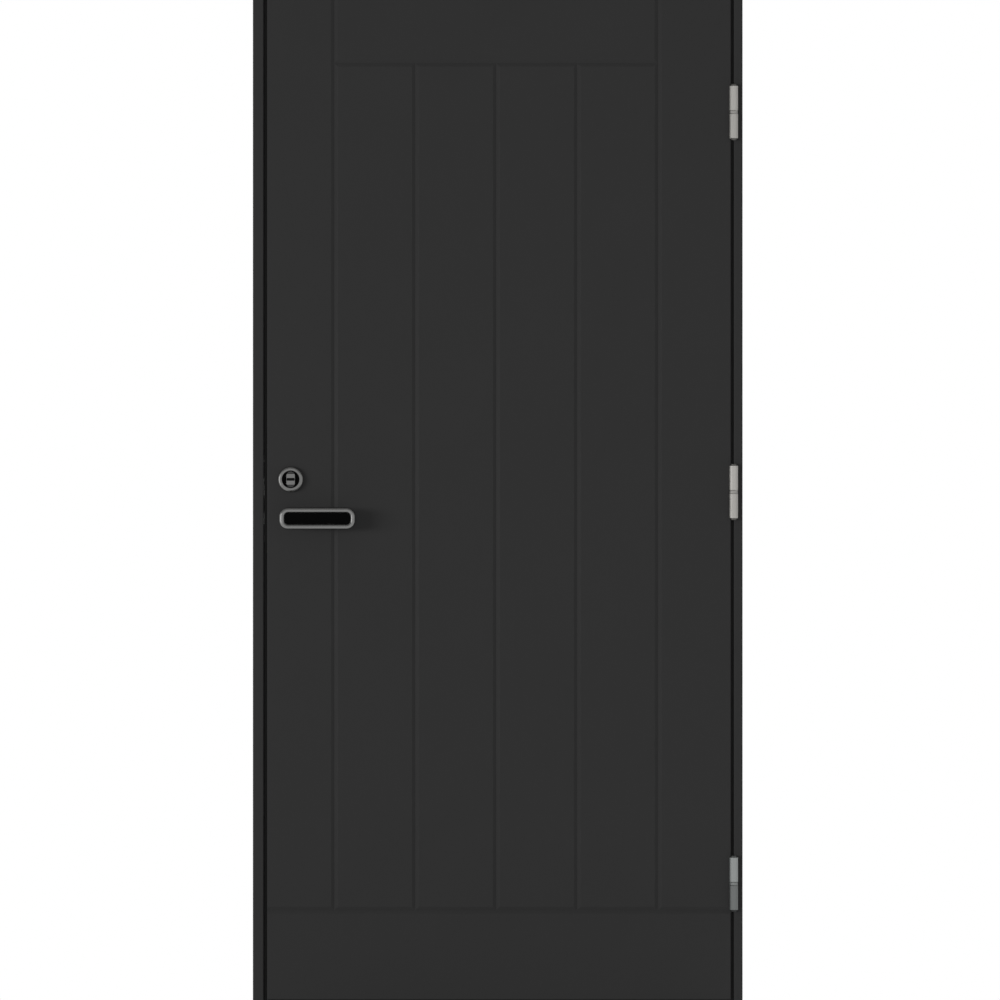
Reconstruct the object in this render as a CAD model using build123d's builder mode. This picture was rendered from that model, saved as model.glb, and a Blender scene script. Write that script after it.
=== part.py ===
from build123d import *
import os

# A painted storage door in its frame: a flush outward-opening leaf with routed grooves, hung on three
# lift-off hinges. Millimetres, +Z up, the outside face looks to -Y and the hinges are at +X.
# The origin is the middle of the threshold's underside.

# Frame of rebated timber
frame_width = 990.0
frame_height = 2090.0
frame_depth = 92.0
frame_stock = 42.0
lock_face = 22.0
hinge_face = 18.0
head_face = 22.0
threshold_height = 45.0
threshold_lip = 27.0
threshold_fall = 5.0
arris = 3.0

# Play round the leaf
lock_gap = 6.5
hinge_gap = 5.0
head_gap = 5.0
sill_gap = 6.0
stop_gap = 5.5

# Leaf: a timber core frame between a routed outer skin and a plain inner skin
leaf_thickness = 42.0
outer_skin_thickness = 9.0
inner_skin_thickness = 4.0
core_lock_stile = 110.0
core_hinge_stile = 80.0
core_top_rail = 110.0
core_bottom_rail = 150.0

# Routed pattern of the outer skin
lock_margin = 136.0
hinge_margin = 148.0
top_margin = 136.0
bottom_margin = 181.5
plank_count = 4
groove_width = 14.0
groove_depth = 3.0

# Weather seal round the stop
seal_width = 8.0
seal_proud = 5.0
seal_inset = 6.5
tongue_width = 2.6
tongue_depth = 6.0
kerf_play = 0.2

# Lift-off hinges
hinge_length = 114.0
barrel_diameter = 18.0
pin_diameter = 10.0
pin_clearance = 0.05
plate_width = 34.0
plate_thickness = 3.0
plate_corner = 6.0
mortise_play = 0.2
axis_forward = 10.5
axis_beside = 4.5
cap_diameter = 11.5
cap_height = 4.0
cap_round = 1.5
bore_floor = 3.5
bearing_height = 6.0
bearing_diameter = 17.0
bearing_play = 0.2
joint_chamfer = 1.0
end_chamfer = 0.4
hinge_from_end = 235.5
middle_hinge_height = 1027.0

# Mortise lock and its strike
backset = 48.0
handle_height = 973.5
cylinder_rise = 79.0
forend_width = 22.0
forend_length = 235.0
forend_thickness = 3.0
case_depth = 78.0
case_height = 172.0
case_thickness = 15.0
bolt_play = 0.3
latch_height = 20.0
latch_width = 12.0
dead_bolt_height = 32.0
dead_bolt_width = 14.0
bolt_length = 30.0
strike_width = 30.0
strike_length = 175.0
strike_thickness = 2.5
strike_room = 1.5
strike_pocket = 14.0

# Oval key cylinder and thumb turn
ring_diameter = 51.5
ring_bore = 36.0
ring_height = 12.0
ring_round = 5.0
ring_bevel = 1.5
ring_play = 0.3
cylinder_hole = 34.0
liner_thickness = 2.5
oval_width = 18.0
oval_height = 33.0
oval_level = 4.5
plug_diameter = 16.6
plug_play = 0.1
plug_depth = 14.0
keyway_length = 13.4
keyway_width = 3.0
keyway_depth = 9.0
guard_height = 23.0
guard_corner = 3.0
guard_thickness = 4.0
guard_bevel = 0.6
guard_slot_length = 15.0
guard_slot_width = 4.6
turn_base = 7.5
turn_tail = 16.0
turn_length = 34.0
turn_width = 11.0
turn_height = 16.0

# Lever handle
lever_length = 153.0
lever_height = 43.5
lever_thickness = 15.0
lever_projection = 58.0
lever_corner = 18.0
rim_width = 10.0
rim_land = 0.2
inlay_recess = 6.5
inlay_play = 0.15
inlay_sunk = 3.0
inlay_round = 0.8
dish_radius = 60.0
dish_depth = 0.8
neck_diameter = 20.0
neck_clearance = 0.08
neck_blend = 5.0
rose_diameter = 39.0
rose_height = 9.0
rose_round = 2.5
spindle_size = 8.0
spindle_play = 0.1
socket_depth = 30.0
hub_hole = 22.0
follower_hole = 13.0

# Fixing holes through the jambs: one near each end and a pair about the middle
fixing_diameter = 14.0
fixing_inset = 140.0
fixing_spread = 700.0

# Positions that follow from the sizes
left = -frame_width / 2
right = frame_width / 2
front = -frame_depth / 2
back = frame_depth / 2
lock_rebate = left + lock_face
hinge_rebate = right - hinge_face
lock_stop = left + frame_stock
hinge_stop = right - frame_stock
head_rebate = frame_height - head_face
head_stop = frame_height - frame_stock
leaf_left = lock_rebate + lock_gap
leaf_right = hinge_rebate - hinge_gap
leaf_bottom = threshold_lip + sill_gap
leaf_top = head_rebate - head_gap
leaf_width = leaf_right - leaf_left
leaf_height = leaf_top - leaf_bottom
leaf_middle = (leaf_left + leaf_right) / 2
leaf_back = front + leaf_thickness
stop = leaf_back + stop_gap
core_front = front + outer_skin_thickness
core_back = leaf_back - inner_skin_thickness
core_depth = core_back - core_front
leaf_centre = (front + leaf_back) / 2
axis_x = leaf_right + axis_beside
axis_y = front - axis_forward
hinge_levels = {
    "top": leaf_top - hinge_from_end,
    "middle": leaf_bottom + middle_hinge_height,
    "bottom": leaf_bottom + hinge_from_end,
}
handle_x = leaf_left + backset
handle_z = leaf_bottom + handle_height
cylinder_z = handle_z + cylinder_rise
lock_middle = (handle_z + cylinder_z) / 2
latch_z = handle_z
dead_bolt_z = cylinder_z - dead_bolt_height / 2
seal_left = leaf_left + seal_inset
seal_right = leaf_right - seal_inset
seal_bottom = leaf_bottom + seal_inset
seal_top = leaf_top - seal_inset
fixing_levels = (
    fixing_inset,
    frame_height / 2 - fixing_spread / 2,
    frame_height / 2 + fixing_spread / 2,
    frame_height - fixing_inset,
)
kerf_width = tongue_width + 2 * kerf_play
kerf_depth = tongue_depth + kerf_play


def facing(distance):
    """A plane parallel to the leaf's face, this far out in front of it, that looks outward."""
    return Plane.XZ.offset(distance - front)


def save(piece, name):
    """Names a finished piece and writes its file."""
    piece.label = name
    export_step(piece, f"parts/{name}.step")


def plate_outline(x, level, play):
    """Outline of a hinge plate let into an edge: square at the leaf's face, round at its inner corners."""
    depth = plate_width + play
    with BuildSketch(Plane.YZ.offset(x)) as outline:
        with Locations((front + depth / 2, level)):
            Rectangle(depth, hinge_length - 2 * cap_height + 2 * play)
        fillet(outline.vertices().group_by(Axis.Y)[-1], plate_corner)
    return outline.sketch


def disc(x, z, diameter, plane):
    """A round outline at a point of a plane that is parallel to the leaf's face."""
    with BuildSketch(plane) as outline:
        with Locations((x, z)):
            Circle(diameter / 2)
    return outline.sketch


def bolt_outline(width, height, level, x):
    """A rectangle in the middle of the leaf's edge, for a bolt or the hole that it slides in."""
    with BuildSketch(Plane.YZ.offset(x)) as outline:
        with Locations((leaf_centre, level)):
            Rectangle(width, height)
    return outline.sketch


def forend_outline(x, play):
    """Outline of the lock's forend, with full round ends."""
    with BuildSketch(Plane.YZ.offset(x)) as outline:
        with Locations((leaf_centre, lock_middle)):
            SlotOverall(forend_length + 2 * play, forend_width + 2 * play, rotation=90)
    return outline.sketch


def strike_outline(x, play):
    """Outline of the strike plate in the lock jamb's rebate."""
    with BuildSketch(Plane.YZ.offset(x)) as outline:
        with Locations((leaf_centre, lock_middle)):
            RectangleRounded(strike_width + 2 * play, strike_length + 2 * play, plate_corner)
    return outline.sketch


def strike_holes(x):
    """The two openings in the strike that the latch and the dead bolt shoot into."""
    with BuildSketch(Plane.YZ.offset(x)) as outline:
        with Locations((leaf_centre, latch_z)):
            Rectangle(latch_width + 2 * strike_room, latch_height + 2 * strike_room)
        with Locations((leaf_centre, dead_bolt_z)):
            Rectangle(dead_bolt_width + 2 * strike_room, dead_bolt_height + 2 * strike_room)
    return outline.sketch


def jamb_profile(outer, rebate, stop_edge, kerf_x):
    """Plan of a rebated jamb: rounded arrises and a kerf for the seal in the face of the stop."""
    with BuildSketch() as profile:
        with BuildLine():
            Polyline(
                (outer, front), (rebate, front), (rebate, stop), (stop_edge, stop),
                (stop_edge, back), (outer, back), close=True
            )
        make_face()
        eased = [v for v in profile.vertices() if (v.X, v.Y) != (rebate, stop)]
        fillet(eased, arris)
        with Locations((kerf_x, stop + kerf_depth / 2)):
            Rectangle(kerf_width, kerf_depth, mode=Mode.SUBTRACT)
    return profile.sketch


def fixing_rows():
    """Outlines of the fixing holes, side view, on the line down the middle of the leaf's edge."""
    with BuildSketch(Plane.YZ) as outline:
        with Locations([(leaf_centre, level) for level in fixing_levels]):
            Circle(fixing_diameter / 2)
    return outline.sketch


def between_jambs():
    """Coped plan of the head and the threshold, so that they fill the space between the rebated jambs."""
    with BuildSketch() as plan:
        with BuildLine():
            Polyline(
                (lock_rebate, front), (hinge_rebate, front), (hinge_rebate, stop), (hinge_stop, stop),
                (hinge_stop, back), (lock_stop, back), (lock_stop, stop), (lock_rebate, stop), close=True
            )
        make_face()
    return plan.sketch


os.makedirs("parts", exist_ok=True)

# Jambs: the lock side takes the strike, the hinge side the hinge plates
with BuildPart() as lock_jamb:
    extrude(jamb_profile(left, lock_rebate, lock_stop, seal_left), amount=frame_height)
    extrude(strike_outline(lock_rebate, mortise_play), amount=-strike_thickness, mode=Mode.SUBTRACT)
    extrude(strike_holes(lock_rebate), amount=-strike_thickness - strike_pocket, mode=Mode.SUBTRACT)
    extrude(fixing_rows(), amount=left, mode=Mode.SUBTRACT)
save(lock_jamb.part, "lock_jamb")

with BuildPart() as hinge_jamb:
    extrude(jamb_profile(right, hinge_rebate, hinge_stop, seal_right), amount=frame_height)
    for level in hinge_levels.values():
        extrude(plate_outline(hinge_rebate, level, mortise_play), amount=plate_thickness, mode=Mode.SUBTRACT)
    extrude(fixing_rows(), amount=right, mode=Mode.SUBTRACT)
save(hinge_jamb.part, "hinge_jamb")

# Head and threshold, coped between the jambs
with BuildPart() as frame_head:
    with BuildSketch(Plane.YZ.offset(left)) as head_profile:
        with BuildLine():
            Polyline(
                (front, frame_height), (front, head_rebate), (stop, head_rebate), (stop, head_stop),
                (back, head_stop), (back, frame_height), close=True
            )
        make_face()
        eased = [v for v in head_profile.vertices() if (v.X, v.Y) != (stop, head_rebate)]
        fillet(eased, arris)
        with Locations((stop + kerf_depth / 2, seal_top)):
            Rectangle(kerf_depth, kerf_width, mode=Mode.SUBTRACT)
    extrude(amount=frame_width)
    extrude(between_jambs(), amount=frame_height, mode=Mode.INTERSECT)
save(frame_head.part, "frame_head")

with BuildPart() as threshold:
    with BuildSketch(Plane.YZ.offset(left)) as threshold_profile:
        with BuildLine():
            Polyline(
                (front, 0), (front, threshold_lip - threshold_fall), (stop, threshold_lip),
                (stop, threshold_height), (back, threshold_height), (back, 0), close=True
            )
        make_face()
        eased = [v for v in threshold_profile.vertices() if v.Y > 0 and (v.X, v.Y) != (stop, threshold_lip)]
        fillet(eased, arris)
        with Locations((stop + kerf_depth / 2, seal_bottom)):
            Rectangle(kerf_depth, kerf_width, mode=Mode.SUBTRACT)
    extrude(amount=frame_width)
    extrude(between_jambs(), amount=threshold_height, mode=Mode.INTERSECT)
save(threshold.part, "threshold")

# Seal: four lengths of bulb strip, mitred at the corners, each with a tongue pressed into its kerf
seal_corners = [
    Vector(seal_left, stop, seal_bottom),
    Vector(seal_left, stop, seal_top),
    Vector(seal_right, stop, seal_top),
    Vector(seal_right, stop, seal_bottom),
]
for number, name in enumerate(("lock_side_seal", "head_seal", "hinge_side_seal", "threshold_seal")):
    start = seal_corners[number]
    end = seal_corners[(number + 1) % 4]
    along = (end - start).normalized()
    inward = Vector(0, 1, 0).cross(along)
    run = (end - start).length
    tongue_start = 0.0
    tongue_end = run
    if along.Z == 0:
        tongue_start = abs((lock_stop if along.X > 0 else hinge_stop) - start.X) + kerf_play
        tongue_end = abs((hinge_stop if along.X > 0 else lock_stop) - start.X) - kerf_play
    with BuildPart() as seal:
        with BuildSketch(Plane(start - along * seal_width, x_dir=inward, z_dir=along)):
            with BuildLine():
                Line((-seal_width / 2, 0), (seal_width / 2, 0))
                ThreePointArc((seal_width / 2, 0), (0, -seal_proud), (-seal_width / 2, 0))
            make_face()
        extrude(amount=run + 2 * seal_width)
        split(bisect_by=Plane(start, z_dir=inward - along), keep=Keep.BOTTOM)
        split(bisect_by=Plane(end, z_dir=inward + along), keep=Keep.BOTTOM)
        with BuildSketch(Plane(start + along * tongue_start, x_dir=inward, z_dir=along)):
            with Locations((0, tongue_depth / 2)):
                Rectangle(tongue_width, tongue_depth)
        extrude(amount=tongue_end - tongue_start)
    save(seal.part, name)

# Strike plate
with BuildPart() as strike_plate:
    extrude(strike_outline(lock_rebate, 0), amount=-strike_thickness)
    extrude(strike_holes(lock_rebate), amount=-strike_thickness, mode=Mode.SUBTRACT)
save(strike_plate.part, "strike_plate")

# Outer skin: V grooves mark two stiles, a top rail, a bottom rail and the planks between them
top_groove = leaf_top - top_margin
bottom_groove = leaf_bottom + bottom_margin
first_groove = leaf_left + lock_margin
last_groove = leaf_right - hinge_margin
plank_pitch = (last_groove - first_groove) / plank_count
groove_lines = [first_groove + plank_pitch * step for step in range(plank_count + 1)]


def groove_outline(plane, at):
    """The V of a groove, its open side on the leaf's face."""
    with BuildSketch(plane) as outline:
        with BuildLine():
            Polyline(
                (at - groove_width / 2, front),
                (at + groove_width / 2, front),
                (at, front + groove_depth),
                close=True,
            )
        make_face()
    return outline.sketch


upright = Plane.XY.offset(bottom_groove)
across = Plane((0, 0, 0), x_dir=(0, 0, 1), z_dir=(-1, 0, 0))

with BuildPart() as outer_skin:
    with BuildSketch(facing(-outer_skin_thickness)):
        with Locations((leaf_middle, (leaf_bottom + leaf_top) / 2)):
            Rectangle(leaf_width, leaf_height)
    extrude(amount=outer_skin_thickness)
    fillet(outer_skin.faces().sort_by(Axis.Y)[0].edges(), arris)
    for at in groove_lines:
        end = leaf_top if at in (first_groove, last_groove) else top_groove
        extrude(groove_outline(upright, at), amount=end - bottom_groove, mode=Mode.SUBTRACT)
    for at, start, end in (
        (top_groove, first_groove, last_groove),
        (bottom_groove, leaf_left, leaf_right),
    ):
        extrude(groove_outline(across.offset(-end), at), amount=end - start, mode=Mode.SUBTRACT)
    for level in hinge_levels.values():
        extrude(plate_outline(leaf_right, level, mortise_play), amount=-plate_thickness, mode=Mode.SUBTRACT)
    extrude(disc(handle_x, handle_z, hub_hole, facing(0)), amount=-leaf_thickness, mode=Mode.SUBTRACT)
    extrude(disc(handle_x, cylinder_z, cylinder_hole, facing(0)), amount=-leaf_thickness, mode=Mode.SUBTRACT)
save(outer_skin.part, "outer_skin")

# Inner skin, plain
with BuildPart() as inner_skin:
    with BuildSketch(facing(-leaf_thickness)):
        with Locations((leaf_middle, (leaf_bottom + leaf_top) / 2)):
            Rectangle(leaf_width, leaf_height)
    extrude(amount=inner_skin_thickness)
    fillet(inner_skin.faces().sort_by(Axis.Y)[-1].edges(), arris / 2)
    extrude(disc(handle_x, handle_z, hub_hole, facing(0)), amount=-leaf_thickness, mode=Mode.SUBTRACT)
    extrude(disc(handle_x, cylinder_z, cylinder_hole, facing(0)), amount=-leaf_thickness, mode=Mode.SUBTRACT)
save(inner_skin.part, "inner_skin")

# Core frame: the stiles run through, the rails stand between them
with BuildPart() as lock_stile:
    with BuildSketch(facing(-outer_skin_thickness)):
        with Locations((leaf_left + core_lock_stile / 2, (leaf_bottom + leaf_top) / 2)):
            Rectangle(core_lock_stile, leaf_height)
    extrude(amount=-core_depth)
    extrude(forend_outline(leaf_left, mortise_play), amount=forend_thickness, mode=Mode.SUBTRACT)
    case_room = bolt_outline(
        case_thickness + 2 * mortise_play, case_height + 2 * mortise_play, lock_middle, leaf_left
    )
    extrude(case_room, amount=forend_thickness + case_depth + mortise_play, mode=Mode.SUBTRACT)
    extrude(disc(handle_x, handle_z, hub_hole, facing(0)), amount=-leaf_thickness, mode=Mode.SUBTRACT)
    extrude(disc(handle_x, cylinder_z, cylinder_hole, facing(0)), amount=-leaf_thickness, mode=Mode.SUBTRACT)
save(lock_stile.part, "lock_stile")

with BuildPart() as hinge_stile:
    with BuildSketch(facing(-outer_skin_thickness)):
        with Locations((leaf_right - core_hinge_stile / 2, (leaf_bottom + leaf_top) / 2)):
            Rectangle(core_hinge_stile, leaf_height)
    extrude(amount=-core_depth)
    for level in hinge_levels.values():
        extrude(plate_outline(leaf_right, level, mortise_play), amount=-plate_thickness, mode=Mode.SUBTRACT)
save(hinge_stile.part, "hinge_stile")

rail_left = leaf_left + core_lock_stile
rail_right = leaf_right - core_hinge_stile
for name, low, high in (
    ("top_rail", leaf_top - core_top_rail, leaf_top),
    ("bottom_rail", leaf_bottom, leaf_bottom + core_bottom_rail),
):
    with BuildPart() as rail:
        with BuildSketch(facing(-outer_skin_thickness)):
            with Locations(((rail_left + rail_right) / 2, (low + high) / 2)):
                Rectangle(rail_right - rail_left, high - low)
        extrude(amount=-core_depth)
    save(rail.part, name)

# Lift-off hinges: the upper knuckle lifts with the leaf off the pin that stands in the lower one
knuckle_length = (hinge_length - bearing_height) / 2
barrel_length = knuckle_length - cap_height
bore_depth = barrel_length - bore_floor


def knuckle(joint_z, way, plate_x):
    """A turned knuckle that runs up (way 1) or down (way -1) from the joint to a narrow cap.

    A web ties it back to its plate, and a blind bore takes the pin.
    """
    radius = barrel_diameter / 2
    with BuildPart() as barrel:
        with BuildSketch(Plane((axis_x, axis_y, joint_z), x_dir=(1, 0, 0), z_dir=(0, -way, 0))) as section:
            with BuildLine():
                Polyline(
                    (0, 0), (radius - joint_chamfer, 0), (radius, joint_chamfer),
                    (radius, barrel_length - end_chamfer), (radius - end_chamfer, barrel_length),
                    (cap_diameter / 2, barrel_length), (cap_diameter / 2, knuckle_length),
                    (0, knuckle_length), close=True
                )
            make_face()
            fillet(section.vertices().group_by(Axis.Y)[-1].sort_by(Axis.X)[-1], cap_round)
        revolve(axis=Axis((axis_x, axis_y, joint_z), (0, 0, 1)))
        with BuildSketch(Plane.XY.offset(joint_z + way * joint_chamfer)):
            with Locations((plate_x + plate_thickness / 2, (axis_y + front) / 2)):
                Rectangle(plate_thickness, front - axis_y)
        extrude(amount=way * (barrel_length - 2 * joint_chamfer))
        with BuildSketch(Plane.XY.offset(joint_z)):
            with Locations((axis_x, axis_y)):
                Circle(pin_diameter / 2 + pin_clearance)
        extrude(amount=way * bore_depth, mode=Mode.SUBTRACT)
    return barrel.part


for name, level in hinge_levels.items():
    lower_end = level - bearing_height / 2
    upper_end = level + bearing_height / 2
    with BuildPart() as frame_plate:
        extrude(plate_outline(hinge_rebate, level, 0), amount=plate_thickness)
        add(knuckle(lower_end, -1, hinge_rebate))
    save(frame_plate.part, f"{name}_hinge_frame_plate")

    with BuildPart() as door_plate:
        extrude(plate_outline(leaf_right - plate_thickness, level, 0), amount=plate_thickness)
        add(knuckle(upper_end, 1, leaf_right - plate_thickness))
    save(door_plate.part, f"{name}_hinge_door_plate")

    with BuildPart() as pin:
        with BuildSketch(Plane.XY.offset(lower_end - bore_depth)):
            with Locations((axis_x, axis_y)):
                Circle(pin_diameter / 2)
        extrude(amount=2 * bore_depth + bearing_height - bearing_play)
        chamfer(pin.edges(), joint_chamfer)
    save(pin.part, f"{name}_hinge_pin")

    with BuildPart() as bearing:
        with BuildSketch(Plane.XY.offset(lower_end)):
            with Locations((axis_x, axis_y)):
                Circle(bearing_diameter / 2)
                Circle(pin_diameter / 2 + pin_clearance, mode=Mode.SUBTRACT)
        extrude(amount=bearing_height - bearing_play)
        chamfer(bearing.faces().filter_by(Axis.Z).edges().group_by(SortBy.RADIUS)[-1], joint_chamfer / 2)
    save(bearing.part, f"{name}_hinge_bearing")

# Mortise lock with its forend; both bolts are drawn back level with the forend
with BuildPart() as mortise_lock:
    extrude(forend_outline(leaf_left, 0), amount=forend_thickness)
    extrude(
        bolt_outline(case_thickness, case_height, lock_middle, leaf_left + forend_thickness),
        amount=case_depth,
    )
    for width, height, level in (
        (latch_width, latch_height, latch_z),
        (dead_bolt_width, dead_bolt_height, dead_bolt_z),
    ):
        extrude(
            bolt_outline(width + 2 * bolt_play, height + 2 * bolt_play, level, leaf_left),
            amount=bolt_length,
            mode=Mode.SUBTRACT,
        )
    extrude(disc(handle_x, handle_z, follower_hole, facing(0)), amount=-leaf_thickness, mode=Mode.SUBTRACT)
save(mortise_lock.part, "mortise_lock")

with BuildPart() as latch_bolt:
    extrude(bolt_outline(latch_width, latch_height, latch_z, leaf_left), amount=bolt_length)
    nose = latch_bolt.faces().sort_by(Axis.X)[0]
    chamfer(nose.edges().sort_by(Axis.Y)[-1], latch_width - 2 * bolt_play, latch_width / 2)
save(latch_bolt.part, "latch_bolt")

with BuildPart() as dead_bolt:
    extrude(bolt_outline(dead_bolt_width, dead_bolt_height, dead_bolt_z, leaf_left), amount=bolt_length)
    chamfer(dead_bolt.faces().sort_by(Axis.X)[0].edges(), bolt_play)
save(dead_bolt.part, "dead_bolt")

# Key cylinder: a turned ring, a dark liner on its floor, an oval cylinder with its plug, and a slotted guard
case_front = leaf_centre - case_thickness / 2
case_level = front - case_front


def oval_outline(plane, play):
    """The upright oval of the key cylinder, or of the hole that it passes through."""
    with BuildSketch(plane) as outline:
        with Locations((handle_x, cylinder_z)):
            SlotOverall(oval_height + 2 * play, oval_width + 2 * play, rotation=90)
    return outline.sketch


def slot_outline(plane, length, width):
    """A level slot with eased corners at the middle of the key cylinder."""
    with BuildSketch(plane) as outline:
        with Locations((handle_x, cylinder_z)):
            RectangleRounded(length, width, width / 4)
    return outline.sketch


with BuildPart() as cylinder_ring:
    with BuildSketch(Plane((handle_x, front, cylinder_z), x_dir=(1, 0, 0), z_dir=(0, 0, 1))) as ring_section:
        with BuildLine():
            Polyline(
                (ring_bore / 2, 0), (ring_diameter / 2, 0), (ring_diameter / 2, -ring_height),
                (ring_bore / 2, -ring_height), close=True
            )
        make_face()
        crown = ring_section.vertices().group_by(Axis.Y)[0].sort_by(Axis.X)
        fillet(crown[-1], ring_round)
        chamfer(crown[0], ring_bevel)
    revolve(axis=Axis((handle_x, front, cylinder_z), (0, 1, 0)))
save(cylinder_ring.part, "cylinder_ring")

with BuildPart() as cylinder_liner:
    extrude(disc(handle_x, cylinder_z, ring_bore - 2 * ring_play, facing(0)), amount=liner_thickness)
    extrude(oval_outline(facing(0), ring_play), amount=liner_thickness, mode=Mode.SUBTRACT)
save(cylinder_liner.part, "cylinder_liner")

with BuildPart() as lock_cylinder:
    extrude(oval_outline(facing(case_level), 0), amount=oval_level - case_level)
    chamfer(lock_cylinder.faces().sort_by(Axis.Y)[0].edges(), guard_bevel)
    extrude(
        disc(handle_x, cylinder_z, plug_diameter + 2 * plug_play, facing(oval_level)),
        amount=-plug_depth,
        mode=Mode.SUBTRACT,
    )
save(lock_cylinder.part, "lock_cylinder")

with BuildPart() as cylinder_plug:
    extrude(disc(handle_x, cylinder_z, plug_diameter, facing(oval_level)), amount=-plug_depth)
    extrude(
        slot_outline(facing(oval_level), keyway_length, keyway_width), amount=-keyway_depth, mode=Mode.SUBTRACT
    )
save(cylinder_plug.part, "cylinder_plug")

with BuildPart() as key_guard:
    with BuildSketch(facing(oval_level)):
        with Locations((handle_x, cylinder_z)):
            RectangleRounded(oval_width, guard_height, guard_corner)
    extrude(amount=guard_thickness)
    extrude(
        slot_outline(facing(oval_level), guard_slot_length, guard_slot_width),
        amount=guard_thickness,
        mode=Mode.SUBTRACT,
    )
    chamfer(key_guard.faces().sort_by(Axis.Y)[0].edges(), guard_bevel)
save(key_guard.part, "key_guard")

# Inside: the same ring with a thumb turn on a round base
through = Plane.XZ.offset(-leaf_centre)
with BuildPart() as thumb_turn_ring:
    mirror(cylinder_ring.part, about=through)
save(thumb_turn_ring.part, "thumb_turn_ring")

with BuildPart() as turn_facing_out:
    extrude(disc(handle_x, cylinder_z, turn_tail, facing(case_level)), amount=-case_level)
    extrude(disc(handle_x, cylinder_z, ring_bore - 2 * ring_play, facing(0)), amount=turn_base)
    with BuildSketch(facing(turn_base)):
        with Locations((handle_x, cylinder_z)):
            SlotOverall(turn_length, turn_width, rotation=90)
    extrude(amount=turn_height)
    fillet(turn_facing_out.faces().sort_by(Axis.Y)[0].edges(), turn_width / 5)
with BuildPart() as thumb_turn:
    mirror(turn_facing_out.part, about=through)
save(thumb_turn.part, "thumb_turn")

# Lever handle: a broad grip with a full round rim about a dished dark inlay, and the neck that turns in the rose
grip_x = handle_x + lever_length / 2 - lever_height / 2
grip_back = lever_projection - lever_thickness
bead = (rim_width - rim_land) / 2
neck_start = rose_round


def inlay_outline(level, play):
    """Outline of the recess inside the lever's rim, or of the inlay that lies in it."""
    inset = rim_width + play
    with BuildSketch(facing(level)) as outline:
        with Locations((grip_x, handle_z)):
            RectangleRounded(lever_length - 2 * inset, lever_height - 2 * inset, lever_corner - inset)
    return outline.sketch

with BuildPart() as outer_rose:
    extrude(disc(handle_x, handle_z, rose_diameter, facing(0)), amount=rose_height)
    fillet(outer_rose.faces().sort_by(Axis.Y)[0].edges(), rose_round)
    extrude(
        disc(handle_x, handle_z, neck_diameter + 2 * neck_clearance, facing(0)),
        amount=rose_height,
        mode=Mode.SUBTRACT,
    )
save(outer_rose.part, "outer_rose")

with BuildPart() as outer_lever:
    with BuildSketch(facing(grip_back)):
        with Locations((grip_x, handle_z)):
            RectangleRounded(lever_length, lever_height, lever_corner)
    extrude(amount=lever_thickness)
    fillet(outer_lever.faces().sort_by(Axis.Y)[0].edges(), bead)
    fillet(outer_lever.faces().sort_by(Axis.Y)[-1].edges(), bead)
    extrude(inlay_outline(lever_projection, 0), amount=-inlay_recess, mode=Mode.SUBTRACT)
    rim = outer_lever.faces().sort_by(Axis.Y)[0]
    fillet(rim.inner_wires().edges(), bead)
    extrude(disc(handle_x, handle_z, neck_diameter, facing(neck_start)), amount=grip_back - neck_start)
    root = outer_lever.edges().filter_by(GeomType.CIRCLE).filter_by_position(
        Axis.Y, front - grip_back - 0.01, front - grip_back + 0.01
    )
    fillet([edge for edge in root if edge.radius < neck_diameter / 2 + 0.01], neck_blend)
    with BuildSketch(facing(neck_start)):
        with Locations((handle_x, handle_z)):
            Rectangle(spindle_size + 2 * spindle_play, spindle_size + 2 * spindle_play)
    extrude(amount=socket_depth, mode=Mode.SUBTRACT)
save(outer_lever.part, "outer_lever")

with BuildPart() as outer_grip_inlay:
    extrude(inlay_outline(lever_projection - inlay_recess, inlay_play), amount=inlay_recess - inlay_sunk)
    fillet(outer_grip_inlay.faces().sort_by(Axis.Y)[0].edges(), inlay_round)
    with BuildSketch(Plane.YZ.offset(grip_x - lever_length / 2)):
        with Locations((front - lever_projection + inlay_sunk + dish_depth - dish_radius, handle_z)):
            Circle(dish_radius)
    extrude(amount=lever_length, mode=Mode.SUBTRACT)
save(outer_grip_inlay.part, "outer_grip_inlay")

# The inside has the same rose, lever and inlay, on the other end of one square spindle
for name, outside in (
    ("inner_rose", outer_rose),
    ("inner_lever", outer_lever),
    ("inner_grip_inlay", outer_grip_inlay),
):
    with BuildPart() as inside:
        mirror(outside.part, about=through)
    save(inside.part, name)

with BuildPart() as spindle:
    with BuildSketch(facing(neck_start + socket_depth - spindle_play)):
        with Locations((handle_x, handle_z)):
            Rectangle(spindle_size, spindle_size)
    extrude(amount=-leaf_thickness - 2 * (neck_start + socket_depth - spindle_play))
save(spindle.part, "spindle")
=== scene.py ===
import math

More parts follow.
